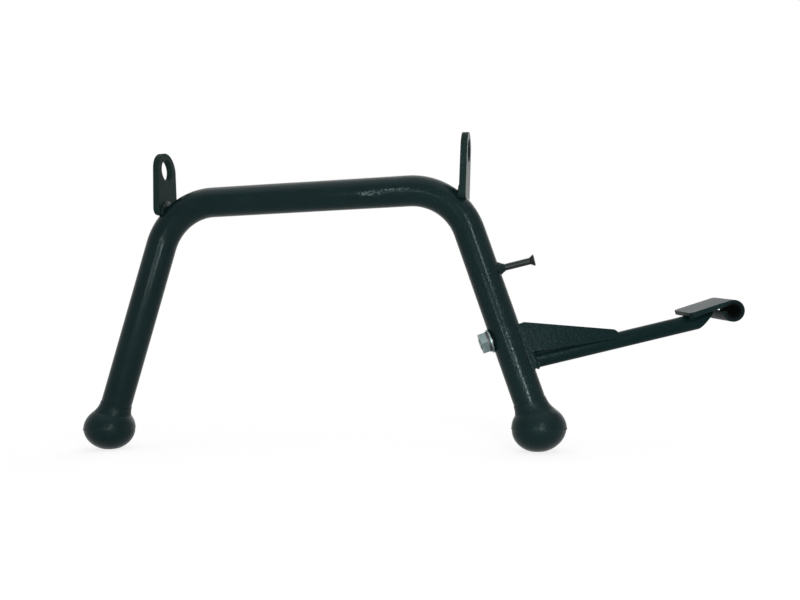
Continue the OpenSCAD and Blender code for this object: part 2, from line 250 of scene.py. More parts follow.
class Bench:
    """Modelling steps that the pieces share, each made of Blender's own operators."""

    @staticmethod
    def leave() -> None:
        """Leave edit mode."""
        bpy.ops.object.mode_set(mode="OBJECT")

    @staticmethod
    def clear() -> None:
        """Leave edit mode and deselect every object."""
        if bpy.context.object and bpy.context.object.mode != "OBJECT":
            Bench.leave()
        bpy.ops.object.select_all(action="DESELECT")

    @staticmethod
    def take(obj: Piece) -> Piece:
        """Make an object the only one selected, and active.

        Args:
            obj: the object.

        Returns:
            The same object.
        """
        Bench.clear()
        obj.select_set(True)
        bpy.context.view_layer.objects.active = obj
        return obj

    @staticmethod
    def edit(obj: Piece) -> None:
        """Enter edit mode with all of a piece selected.

        Args:
            obj: the piece.
        """
        Bench.take(obj)
        bpy.ops.object.mode_set(mode="EDIT")
        bpy.ops.mesh.select_all(action="SELECT")

    @staticmethod
    def named(name: str) -> Piece:
        """Name the primitive that was just added, and freeze its transform.

        Args:
            name: the new name.

        Returns:
            The object.
        """
        obj = bpy.context.object
        obj.name = name
        obj.data.name = name
        bpy.ops.object.transform_apply(location=True, rotation=True, scale=True)
        return obj

    @staticmethod
    def block(name: str, size: Sequence[float], middle: Sequence[float]) -> Piece:
        """A block to shape further.

        Args:
            name: the object's name.
            size: its size on each axis.
            middle: its middle.

        Returns:
            The block.
        """
        Bench.clear()
        bpy.ops.mesh.primitive_cube_add(size=1.0)
        bpy.context.object.scale = size
        bpy.context.object.location = middle
        return Bench.named(name)

    @staticmethod
    def rod(name: str, radius: float, ends: tuple[float, float], place: Matrix, sides: int) -> Piece:
        """A plain round bar along a frame's X axis, to cut with or to shape further.

        Args:
            name: the object's name.
            radius: its radius.
            ends: where it starts and ends on X.
            place: the frame.
            sides: faces around.

        Returns:
            The bar.
        """
        start, end = ends
        Bench.clear()
        bpy.ops.mesh.primitive_cylinder_add(
            vertices=sides,
            radius=radius,
            depth=end - start,
            location=((start + end) / 2, 0.0, 0.0),
            rotation=(0.0, QUARTER, 0.0),
        )
        return Bench.place(Bench.named(name), place)

    @staticmethod
    def turned(name: str, rings: Sequence[tuple[float, float]], sides: int) -> Piece:
        """A turned piece: a ring extruded and resized along Z, closed at both ends.

        Args:
            name: the object's name.
            rings: radius and height of each ring, in order.
            sides: faces around.

        Returns:
            The piece, about the Z axis.
        """
        Bench.clear()
        radius, height = rings[0]
        bpy.ops.mesh.primitive_circle_add(
            vertices=sides, radius=radius, fill_type="NGON", location=(0.0, 0.0, height)
        )
        obj = Bench.named(name)
        Bench.edit(obj)
        for wide, high in rings[1:]:
            share = wide / radius
            bpy.ops.mesh.extrude_region_move(TRANSFORM_OT_translate={"value": (0.0, 0.0, high - height)})
            bpy.ops.transform.resize(value=(share, share, 1.0), center_override=(0.0, 0.0, high))
            radius, height = wide, high
        Bench.leave()
        return obj

    @staticmethod
    def pick(obj: Piece, kind: Pick, test: Callable[[Vector], bool]) -> None:
        """Select what has its middle in the right place, and stay in edit mode.

        Args:
            obj: the piece.
            kind: what is selected.
            test: takes a middle in object space.
        """
        Bench.take(obj)
        bpy.ops.object.mode_set(mode="EDIT")
        bpy.ops.mesh.select_mode(type=kind.value)
        bpy.ops.mesh.select_all(action="DESELECT")
        Bench.leave()
        points = obj.data.vertices
        if kind is Pick.POINTS:
            for point in points:
                point.select = test(point.co)
        elif kind is Pick.EDGES:
            for edge in obj.data.edges:
                first, last = edge.vertices
                edge.select = test((points[first].co + points[last].co) / 2)
        else:
            for face in obj.data.polygons:
                face.select = test(face.center)
        bpy.ops.object.mode_set(mode="EDIT")

    @staticmethod
    def round_edges(
        obj: Piece, test: Callable[[Vector], bool], radius: float, segments: int, clamp: bool = False
    ) -> None:
        """Round some edges of a piece.

        Args:
            obj: the piece.
            test: takes an edge's middle.
            radius: radius of the rounding.
            segments: faces across it.
            clamp: whether neighbouring roundings stop at each other.
        """
        Bench.pick(obj, Pick.EDGES, test)
        bpy.ops.mesh.bevel(
            offset=radius, offset_type="OFFSET", segments=segments, profile=0.5, clamp_overlap=clamp
        )
        Bench.leave()

    @staticmethod
    def slice(obj: Piece, *planes: Plane) -> None:
        """Cut a piece along planes, close each cut and drop one side of it.

        Args:
            obj: the piece.
            planes: where it is cut, in order.
        """
        Bench.edit(obj)
        for plane in planes:
            bpy.ops.mesh.select_all(action="SELECT")
            bpy.ops.mesh.bisect(
                plane_co=plane.point,
                plane_no=plane.normal,
                use_fill=True,
                clear_inner=not plane.drop_front,
                clear_outer=plane.drop_front,
            )
        Bench.leave()

    @staticmethod
    def place(obj: Piece, matrix: Matrix) -> Piece:
        """Move a piece to its place and freeze that place into its mesh.

        Args:
            obj: the piece, modelled about the origin.
            matrix: where it goes.

        Returns:
            The piece.
        """
        Bench.take(obj)
        obj.matrix_world = matrix
        bpy.ops.object.transform_apply(location=True, rotation=True, scale=True)
        return obj

    @staticmethod
    def apply(obj: Piece, kind: str, **settings: object) -> Piece:
        """Add one modifier, set it and apply it.

        Args:
            obj: the piece.
            kind: the modifier's type.
            settings: its values.

        Returns:
            The piece.
        """
        Bench.take(obj)
        modifier = obj.modifiers.new(kind.title(), kind)
        for key, value in settings.items():
            setattr(modifier, key, value)
        bpy.ops.object.modifier_apply(modifier=modifier.name)
        return obj

    @staticmethod
    def combine(obj: Piece, tool: Piece, how: Join = Join.TAKE_OUT) -> Piece:
        """Use one shape on a piece, and throw the tool away.

        Args:
            obj: the piece.
            tool: the other shape.
            how: what is done with it.

        Returns:
            The piece.
        """
        Bench.apply(obj, "BOOLEAN", object=tool, operation=how.value, solver="EXACT")
        Bench.take(tool)
        bpy.ops.object.delete()
        return Bench.take(obj)

    @staticmethod
    def soften(obj: Piece, width: float, segments: int = 3, angle: float = 32.0) -> Piece:
        """Round the sharp edges of a piece a little.

        Args:
            obj: the piece.
            width: width of the rounding.
            segments: faces across it.
            angle: edges sharper than this are rounded, in degrees.

        Returns:
            The piece.
        """
        return Bench.apply(
            obj,
            "BEVEL",
            width=width,
            segments=segments,
            limit_method="ANGLE",
            angle_limit=math.radians(angle),
            use_clamp_overlap=True,
            harden_normals=False,
        )

    @staticmethod
    def finish(obj: Piece, angle: float = 40.0) -> Piece:
        """Merge doubles, point the faces outwards and shade smooth up to an angle.

        Args:
            obj: the piece.
            angle: faces that meet at more than this keep a crisp edge, in degrees.

        Returns:
            The piece.
        """
        Bench.take(obj)
        if obj.data.has_custom_normals:
            bpy.ops.mesh.customdata_custom_splitnormals_clear()
        Bench.edit(obj)
        bpy.ops.mesh.remove_doubles(threshold=2e-6)
        bpy.ops.mesh.normals_make_consistent(inside=False)
        Bench.leave()
        bpy.ops.object.shade_smooth_by_angle(angle=math.radians(angle))
        return Bench.apply(obj, "WEIGHTED_NORMAL", keep_sharp=True)

    @staticmethod
    def flip(obj: Piece) -> Piece:
        """Mirror a lever-side piece to the other side, with its faces outward."""
        return Bench.finish(Bench.place(obj, Matrix.Scale(-1.0, 4, ACROSS)))

    @staticmethod
    def other_side(obj: Piece) -> Piece:
        """The same piece for the side without the lever.

        Args:
            obj: the lever-side piece, which has its side in its name.

        Returns:
            A mirrored copy with its own mesh.
        """
        Bench.take(obj)
        bpy.ops.object.duplicate()
        twin = bpy.context.object
        twin.name = obj.name.replace(Side.RIGHT.value, Side.LEFT.value)
        twin.data.name = twin.name
        return Bench.flip(twin)


class Bead:
    """Weld beads with their scale-like ripples."""

    @staticmethod
    def pinch(obj: Piece, depth: float, test: Callable[[Vector], bool]) -> None:
        """Push some points of a bead in, along their normals.

        Args:
            obj: the bead.
            depth: how far.
            test: takes a point.
        """
        Bench.pick(obj, Pick.POINTS, test)
        bpy.ops.transform.shrink_fatten(value=-depth)
        Bench.leave()

    @staticmethod
    def ring(
        name: str, radius: float, thick: float, axis: Vector, steps: int, depth: float, every: int = 4
    ) -> Piece:
        """A round bead about the origin.

        Args:
            name: the piece's name.
            radius: radius of the ring.
            thick: radius of the bead.
            axis: its axis, X or Z.
            steps: rings of points around it.
            depth: depth of a ripple.
            every: rings from one ripple to the next.

        Returns:
            The bead.
        """
        Bench.clear()
        bpy.ops.mesh.primitive_torus_add(
            major_segments=steps,
            minor_segments=12,
            major_radius=radius,
            minor_radius=thick,
            rotation=(0.0, QUARTER * axis.x, 0.0),
        )
        bead = Bench.named(name)
        other = axis.cross(BACK)

        def low(co: Vector) -> bool:
            """Whether a point is on a ring that is pinched."""
            return round(math.atan2(co.dot(other), co.dot(BACK)) / math.tau * steps) % every == 0

        Bead.pinch(bead, depth, low)
        return Bench.apply(bead, "SUBSURF", levels=1, render_levels=1)

    @staticmethod
    def wrap(
        obj: Piece, depth: float, sides: int, top: float, every: int = 4, slant: float = 2.0 * MM
    ) -> None:
        """Pinch a turned piece along every few of its sides.

        Args:
            obj: a piece turned about Z.
            depth: depth of a ripple.
            sides: its faces around.
            top: height that the ripples stay under.
            every: sides from one ripple to the next.
            slant: height in which a ripple moves on by one side.
        """

        def low(co: Vector) -> bool:
            """Whether a point is on a side that is pinched."""
            side = math.atan2(co.y, co.x) / math.tau * sides + co.z / slant
            return co.z < top and round(side) % every == 0

        Bench.finish(obj)
        Bead.pinch(obj, depth, low)


# finishes


class Graph:
    """A node tree built by short calls; an input takes a value or another node's output."""

    def __init__(self, tree: Tree) -> None:
        """Keep the tree."""
        self.tree = tree

    def put(self, socket: Socket, value: Value) -> None:
        """Set one input, or wire it.

        Args:
            socket: the input.
            value: its value, or the output to wire it to.
        """
        if isinstance(value, bpy.types.NodeSocket):
            self.tree.links.new(value, socket)
        else:
            socket.default_value = value

    def add(self, kind: str, inputs: dict | None = None, **settings: object) -> bpy.types.Node:
        """Add one shader node.

        Args:
            kind: its type, without ShaderNode.
            inputs: its inputs, by name or number.
            settings: its other settings.

        Returns:
            The node.
        """
        node = self.tree.nodes.new(f"ShaderNode{kind}")
        for key, value in settings.items():
            setattr(node, key, value)
        for key, value in (inputs or {}).items():
            self.put(node.inputs[key], value)
        return node

    def coords(self) -> Socket:
        """Object coordinates."""
        return self.add("TexCoord").outputs["Object"]

    def noise(self, place: Socket, scale: float, detail: float) -> Socket:
        """Soft noise between 0 and 1."""
        return self.add("TexNoise", {"Vector": place, "Scale": scale, "Detail": detail}).outputs["Fac"]

    def ramp(self, value: Socket, low: Value, high: Value, start: float = 0.0, end: float = 1.0) -> Socket:
        """A value that goes from low to high made to go from start to end, and held there."""
        limits = {"From Min": low, "From Max": high, "To Min": start, "To Max": end}
        return self.add("MapRange", {"Value": value, **limits}).outputs["Result"]

    def maths(self, operation: str, first: Value, second: Value, clamp: bool = False) -> Socket:
        """Arithmetic on two numbers."""
        return self.add("Math", {0: first, 1: second}, operation=operation, use_clamp=clamp).outputs[0]

    def vectors(self, operation: str, first: Value, second: Value) -> Socket:
        """Arithmetic on two vectors."""
        return self.add("VectorMath", {0: first, 1: second}, operation=operation).outputs["Vector"]

    def length(self, vector: Socket) -> Socket:
        """Length of a vector."""
        return self.add("VectorMath", {0: vector}, operation="LENGTH").outputs["Value"]

    def mix(self, kind: Blend, share: Socket, start: Value, end: Value) -> Socket:
        """A mix of two colours or numbers."""
        ends = {"Factor": share, "A": start, "B": end}
        return self.add("Mix", ends, data_type=kind.value).outputs["Result"]

    def group(self, tree: Tree, **inputs: Value) -> Socket:
        """The output of a node group."""
        return self.add("Group", inputs, node_tree=tree).outputs[0]

    def bump(self, shader: bpy.types.Node, peel: float, grit: float, strength: float, depth: float) -> None:
        """Give a shader the skin of a sprayed coat.

        Args:
            shader: the shader.
            peel: depth of the orange peel.
            grit: depth of the dust nibs.
            strength: strength of both.
            depth: their height in metres.
        """
        height = self.group(paint_skin(), Peel=peel, Grit=grit)
        bump = self.add("Bump", {"Strength": strength, "Distance": depth, "Height": height})
        self.put(shader.inputs["Normal"], bump.outputs["Normal"])

    @staticmethod
    def start(name: str, output: str, **inputs: str) -> tuple[Graph, bpy.types.NodeOutputs]:
        """Start a node group.

        Args:
            name: its name.
            output: its output, a number.
            inputs: whether each input is a Float or a Vector.

        Returns:
            The group's graph, and the group's inputs as sockets to wire from.
        """
        tree = bpy.data.node_groups.new(name, "ShaderNodeTree")
        for label, kind in inputs.items():
            tree.interface.new_socket(name=label, in_out="INPUT", socket_type=f"NodeSocket{kind}")
        tree.interface.new_socket(name=output, in_out="OUTPUT", socket_type="NodeSocketFloat")
        return Graph(tree), tree.nodes.new("NodeGroupInput").outputs

    def end(self, value: Socket) -> Tree:
        """Wire the output of a node group, and give back the group."""
        self.put(self.tree.nodes.new("NodeGroupOutput").inputs[0], value)
        return self.tree


@cache
def paint_skin() -> Tree:
    """Orange peel, dust nibs and shallow pits of a sprayed coat, as one height.

    Returns:
        The group: inputs Peel and Grit, output Height.
    """
    graph, given = Graph.start("paint_skin", "Height", Peel="Float", Grit="Float")
    place = graph.coords()
    peel = graph.noise(place, scale=420.0, detail=2.0)
    nibs = graph.ramp(graph.noise(place, scale=900.0, detail=1.0), low=0.60, high=0.74)
    waves = graph.maths("MULTIPLY", peel, given["Peel"])
    dust = graph.maths("MULTIPLY", nibs, given["Grit"])
    return graph.end(graph.maths("ADD", waves, dust))


@cache
def scuffs() -> Tree:
    """Sparse speckled rub marks in patches.

    Returns:
        The group: input Amount, output Mask.
    """
    graph, given = Graph.start("scuffs", "Mask", Amount="Float")
    place = graph.coords()
    patches = graph.ramp(graph.noise(place, scale=22.0, detail=2.0), low=0.54, high=0.66)
    cells = graph.add("TexVoronoi", {"Vector": place, "Scale": 520.0}).outputs["Distance"]
    marks = graph.maths("MULTIPLY", patches, graph.ramp(cells, low=0.30, high=0.12))
    return graph.end(graph.maths("MULTIPLY", marks, given["Amount"], clamp=True))


@cache
def round_hollow() -> Tree:
    """Painted shade inside a rolled sheet, where little light reaches: full within its inside radius,
    fading out by 1.75 times that.

    Returns:
        The group: inputs Middle, Turn and Radius of the roll, output Mask.
    """
    graph, given = Graph.start("round_hollow", "Mask", Middle="Vector", Turn="Vector", Radius="Float")
    place = {"Vector": graph.coords(), "Location": given["Middle"], "Rotation": given["Turn"]}
    local = graph.add("Mapping", place, vector_type="TEXTURE").outputs["Vector"]
    away = graph.length(graph.vectors("MULTIPLY", local, (1.0, 0.0, 1.0)))
    edge = graph.maths("MULTIPLY", given["Radius"], 1.75)
    return graph.end(graph.ramp(away, low=given["Radius"], high=edge, start=1.0, end=0.0))


@cache
def rubbed_spot() -> Tree:
    """Speckled rub mark inside one oval spot, which also stands in as a painted highlight.

    Returns:
        The group: inputs Centre and Reach in metres, output Mask.
    """
    graph, given = Graph.start("rubbed_spot", "Mask", Centre="Vector", Reach="Vector")
    place = graph.coords()
    away = graph.vectors("SUBTRACT", place, given["Centre"])
    inside = graph.ramp(graph.length(graph.vectors("DIVIDE", away, given["Reach"])), low=1.0, high=0.45)
    stretched = graph.add("Mapping", {"Vector": place, "Scale": (0.55, 1.0, 1.0)}).outputs["Vector"]
    specks = graph.ramp(graph.noise(stretched, scale=850.0, detail=2.0), low=0.47, high=0.60)
    return graph.end(graph.maths("MULTIPLY", inside, specks, clamp=True))


def start_material(name: str, colour: Triple) -> tuple[Material, Graph, bpy.types.Node]:
    """Start a material.

    Args:
        name: its name.
        colour: its colour in a plain view, linear.

    Returns:
        The material, its graph and its shader.
    """
    material = bpy.data.materials.new(name)
    material.use_nodes = True
    material.diffuse_color = (*colour, 1.0)
    graph = Graph(material.node_tree)
    return material, graph, graph.tree.nodes["Principled BSDF"]


def shade(colour: Triple, share: float) -> tuple[float, ...]:
    """A darker or lighter shade of a colour, at most white."""
    return (*[min(1.0, part * share) for part in colour], 1.0)


@dataclass(frozen=True)
class Paint:
    """Sprayed gloss paint over steel.

    Attributes:
        name: the material's name.
        colour: the paint's own colour, linear.
        worn: what shows where it is rubbed, and the light colour of the painted highlights in the rubbed
            spots, linear.
        glint: tint of its reflections.
        shine: strength of its reflections.
        roughness: gloss of a clean stretch.
        rubbed: roughness where it is rubbed.
        peel: depth of the orange peel.
        grit: depth of the dust nibs.
        scuff: how much the speckled rub marks show.
        spots: middle and reach of each rubbed spot that is also a painted highlight.
        hollow: frame of the roll whose inside gets painted shade.
        hollow_radius: inside radius of that roll.
        hollow_colour: colour of the painted shade inside that roll.
    """

    name: str
    colour: Triple = (0.0028, 0.0088, 0.0092)
    worn: Triple = (0.065, 0.095, 0.088)
    glint: Triple = (0.82, 1.0, 1.0)
    shine: float = 0.08
    roughness: float = 0.18
    rubbed: float = 0.5
    peel: float = 1.0
    grit: float = 1.0
    scuff: float = 0.10
    spots: tuple[tuple[Vector, Vector], ...] = ()
    hollow: Matrix = field(default_factory=Matrix)
    hollow_radius: float = 0.0
    hollow_colour: Triple = (0.0015, 0.0015, 0.002)

    def build(self) -> Material:
        """Make the material.

        Returns:
            The material.
        """
        material, graph, shader = start_material(self.name, self.colour)
        shader.inputs["Specular IOR Level"].default_value = self.shine
        shader.inputs["Specular Tint"].default_value = (*self.glint, 1.0)
        marks = graph.group(scuffs(), Amount=self.scuff)
        # The rubbed spots join the scuffs; they are rub marks and painted highlights at once.
        for middle, reach in self.spots:
            marks = graph.maths("MAXIMUM", marks, graph.group(rubbed_spot(), Centre=middle, Reach=reach))
        # Painted shade: a mask for the inside of the pedal's roll, which is painted near black and fully
        # rough.
        inside = graph.group(
            round_hollow(),
            Middle=self.hollow.translation,
            Turn=self.hollow.to_euler(),
            Radius=self.hollow_radius,
        )
        cloud = graph.noise(graph.coords(), scale=34.0, detail=4.0)
        coat = graph.mix(Blend.COLOURS, cloud, shade(self.colour, 0.82), shade(self.colour, 1.22))
        # The light worn colour shows in the scuffs as rubbed paint, and in the spots as rubbed paint that
        # is also a painted highlight.
        outside = graph.mix(Blend.COLOURS, marks, coat, (*self.worn, 1.0))
        # The painted shade inside the roll goes over the paint and the rub marks.
        colour = graph.mix(Blend.COLOURS, inside, outside, (*self.hollow_colour, 1.0))
        graph.put(shader.inputs["Base Color"], colour)
        gloss = graph.ramp(cloud, low=0.0, high=1.0, start=self.roughness - 0.04, end=self.roughness + 0.10)
        dull = graph.mix(Blend.NUMBERS, marks, gloss, self.rubbed)
        graph.put(shader.inputs["Roughness"], graph.mix(Blend.NUMBERS, inside, dull, 1.0))
        graph.bump(shader, self.peel, self.grit, strength=0.35, depth=0.4 * MM)
        return material


@dataclass(frozen=True)
class Plated:
    """Bare or plated steel.

    Attributes:
        name: the material's name.
        colour: the metal's colour, linear.
        roughness: mean roughness.
        stain: how far the tint wanders.
    """

    name: str
    colour: Triple = (0.125, 0.165, 0.165)
    roughness: float = 0.36
    stain: float = 0.45

    def build(self) -> Material:
        """Make the material.

        Returns:
            The material.
        """
        material, graph, shader = start_material(self.name, self.colour)
        shader.inputs["Metallic"].default_value = 0.85
        spangle = graph.noise(graph.coords(), scale=240.0, detail=5.0)
        dark, light = shade(self.colour, 1 - self.stain), shade(self.colour, 1 + self.stain)
        graph.put(shader.inputs["Base Color"], graph.mix(Blend.COLOURS, spangle, dark, light))
        glossy, dull = self.roughness - 0.08, self.roughness + 0.14
        gloss = graph.ramp(spangle, low=0.0, high=1.0, start=glossy, end=dull)
        graph.put(shader.inputs["Roughness"], gloss)
        graph.bump(shader, peel=0.5, grit=0.3, strength=0.2, depth=0.2 * MM)
        return material


class Finishes:
    """The finishes of this stand, built once and handed to the pieces."""

    def __init__(self, at: Layout) -> None:
        """Build every material.

        Args:
            at: the shared places.
        """
        level, front = -at.rise, -at.tube
        # Rubbed spots on the crossbar's front and on the bend by the lever-side lug: speckled rub marks in
        # the light worn colour that also stand in as painted highlights.
        rubs_and_highlights = (
            (Vector((62.0 * MM, front, level - 2.6 * MM)), Vector((15.0, 6.0, 2.8)) * MM),
            (Vector((84.0 * MM, front, level - 0.6 * MM)), Vector((17.0, 6.0, 1.3)) * MM),
            (Vector((153.0 * MM, front + 2.0 * MM, level - 13.0 * MM)), Vector((6.0, 9.0, 5.0)) * MM),
        )
        self.frame_paint = Paint("frame_paint", spots=rubs_and_highlights).build()
        # The lugs get a lighter copy of the black paint with almost no shine: its lighter colour is painted
        # reflection in place of the paint's sheen; the scuffs are real wear.
        self.lug_paint = Paint(
            "lug_paint", colour=(0.0075, 0.0155, 0.0140), shine=0.010, roughness=0.3, scuff=0.45
        ).build()
        self.post_paint = Paint(
            "post_paint", colour=(0.006, 0.0075, 0.007), shine=0.20, roughness=0.32, scuff=0.4
        ).build()
        self.weld_paint = Paint("weld_paint", roughness=0.32, peel=1.6, grit=1.2).build()
        self.foot_paint = Paint("foot_paint", roughness=0.28).build()
        self.sole_steel = Paint("sole_steel", roughness=0.28, scuff=0.15).build()
        self.lever_paint = Paint("lever_paint", roughness=0.20, shine=0.032).build()
        pedal = Pedal(at)
        # The pedal's paint carries painted shade inside its rolled end.
        self.pedal_paint = Paint(
            "pedal_paint",
            roughness=0.42,
            shine=0.06,
            hollow=at.plate @ move(pedal.flat, 0.0, pedal.sheet - pedal.roll),
            hollow_radius=pedal.roll - pedal.sheet + 0.1 * MM,
        ).build()
        self.zinc_plate = Plated("zinc_plate").build()
        self.bare_steel = Plated("bare_steel", colour=(0.045, 0.05, 0.05), roughness=0.5).build()


def dress(obj: Piece, material: Material) -> None:
    """Give a piece its one material."""
    obj.data.materials.clear()
    obj.data.materials.append(material)


def hand_over(obj: Piece, node: str, material: Material) -> None:
    """Let a finished piece stand for its CAD node.

    Args:
        obj: the finished piece.
        node: the CAD node that it replaces.
        material: its finish.
    """
    dress(obj, material)
    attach(obj, BODY)
    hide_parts(node)
    log.info("%s: %d faces", obj.name, len(obj.data.polygons))


def hand_over_pair(obj: Piece, node: str, material: Material) -> None:
    """Hand over a lever-side piece and its twin on the other side."""
    hand_over(Bench.other_side(obj), Side.LEFT.of(node), material)
    hand_over(obj, Side.RIGHT.of(node), material)


# the tube


@dataclass
class BentTube:
    """The bent tube: a straight crossbar, two bends and two splayed legs.

    Attributes:
        at: the shared places.
        sides: faces around the tube.
        bend_steps: faces along a bend.
    """

    at: Layout
    sides: int = 72
    bend_steps: int = 40

    def build(self, finish: Finishes) -> None:
        """Sweep a ring along half the path, mirror it and close its ends.

        Args:
            finish: the finishes.
        """
        at = self.at
        Bench.clear()
        bpy.ops.mesh.primitive_circle_add(
            vertices=self.sides,
            radius=at.tube,
            fill_type="NOTHING",
            location=(0.0, 0.0, -at.rise),
            rotation=(0.0, QUARTER, 0.0),
        )
        tube = Bench.named("tube_frame")
        Bench.edit(tube)
        bpy.ops.mesh.extrude_region_move(TRANSFORM_OT_translate={"value": (at.straight, 0.0, 0.0)})
        bpy.ops.mesh.spin(
            steps=self.bend_steps,
            angle=-at.bend_angle,
            center=(at.straight, 0.0, -at.rise - at.bend),
            axis=BACK,
        )
        end = at.down_leg(at.bend_set).translation
        way = Vector((math.sin(at.splay), 0.0, -math.cos(at.splay)))
        Bench.pick(tube, Pick.POINTS, lambda co: abs((co - end).dot(way)) < 1e-5 and co.x > at.straight)
        bpy.ops.mesh.select_mode(type="EDGE")
        run = way * (at.leg - at.bend_set)
        bpy.ops.mesh.extrude_region_move(TRANSFORM_OT_translate={"value": tuple(run)})
        Bench.leave()
        Bench.apply(tube, "MIRROR", use_axis=(True, False, False), use_clip=True, merge_threshold=1e-5)
        Bench.edit(tube)
        bpy.ops.mesh.select_mode(type="EDGE")
        bpy.ops.mesh.select_all(action="DESELECT")
        bpy.ops.mesh.select_non_manifold()
        bpy.ops.mesh.fill_holes(sides=0)
        Bench.leave()
        hand_over(Bench.finish(tube, angle=50.0), "stand_tube", finish.frame_paint)


# the lugs


@dataclass
class Lugs:
    """The two pivot lugs and their weld beads.

    Attributes:
        at: the shared places.
        bore: radius of the pivot bore.
        rim: metal over the bore.
        thick: thickness of a plate.
        inner: X of the inner face.
        foot: how far a lug reaches below the crossbar's centre line.
        spread: how far the rear edge runs out towards the foot.
        corner: radius of the lower corners.
        lean: how far the lever-side lug leans outward.
        bead: radius of a weld bead.
    """

    at: Layout
    bore: float = 10.0 * MM
    rim: float = 6.5 * MM
    thick: float = 6.0 * MM
    inner: float = 141.0 * MM
    foot: float = 11.0 * MM
    spread: float = 4.0 * MM
    corner: float = 6.0 * MM
    lean: float = math.radians(3.6)
    bead: float = 1.9 * MM

    @property
    def bottom(self) -> float:
        """Height of a lug's lower edge."""
        return -self.at.rise - self.foot

    def plate(self, name: str, lean: float) -> Piece:
        """One lug, from a block with rounded corners, a bore and a bevelled rim.

        Args:
            name: the piece's name.
            lean: its lean outward, about its foot.

        Returns:
            The lug, on the lever side.
        """
        top, bottom = self.bore + self.rim, self.bottom
        middle = (self.inner + self.thick / 2, 0.0, (top + bottom) / 2)
        lug = Bench.block(name, (self.thick, 2 * top, top - bottom), middle)
        Bench.pick(lug, Pick.POINTS, lambda co: co.z < bottom / 2 and co.y > 0)
        bpy.ops.transform.translate(value=(0.0, self.spread, 0.0))
        side, toe = top * 0.9, bottom * 0.98
        Bench.round_edges(
            lug, lambda co: co.z > side and abs(co.y) > side, top * 0.995, segments=24, clamp=True
        )
        Bench.round_edges(lug, lambda co: co.z < toe and abs(co.y) > side, self.corner, segments=10)
        foot = move(self.inner, 0.0, -self.at.rise)
        Bench.place(lug, foot @ turn(lean, "Y") @ foot.inverted())
        ends = (self.inner - 10.0 * MM, self.inner + 20.0 * MM)
        Bench.combine(lug, Bench.rod("drill", self.bore, ends, Matrix(), sides=72))
        Bench.soften(lug, 0.55 * MM, angle=40.0)
        return Bench.finish(lug, angle=35.0)

    def root_bead(self, name: str) -> Piece:
        """Rippled weld bead in the corner between the tube and a lug's inner face.

        Args:
            name: the piece's name.

        Returns:
            The bead, on the lever side.
        """
        at = self.at
        radius = at.tube + 0.2 * MM
        bend_turn = math.asin((self.inner - at.straight) / at.bend)
        bead = Bead.ring(name, radius, self.bead, ACROSS, steps=96, depth=0.28 * MM)
        height = -at.rise - at.bend * (1 - math.cos(bend_turn))
        taller = Matrix.Diagonal((1.0, 1.0, 1.0 / math.cos(bend_turn), 1.0))
        Bench.place(bead, move(self.inner - 0.4 * MM, 0.0, height) @ taller)
        Bench.slice(bead, Plane((0.0, 0.0, self.bottom), UP, drop_front=False))
        return Bench.finish(bead, angle=60.0)

    def build(self, finish: Finishes) -> None:
        """Make both lugs and both beads.

        Args:
            finish: the finishes.
        """
        for side, lean in ((Side.LEFT, 0.0), (Side.RIGHT, self.lean)):
            lug = self.plate(side.of("pivot_lug"), lean)
            if side is Side.LEFT:
                Bench.flip(lug)
            hand_over(lug, side.of("lug"), finish.lug_paint)
        hand_over_pair(self.root_bead(Side.RIGHT.of("lug_bead")), "lug_weld", finish.weld_paint)


# the feet


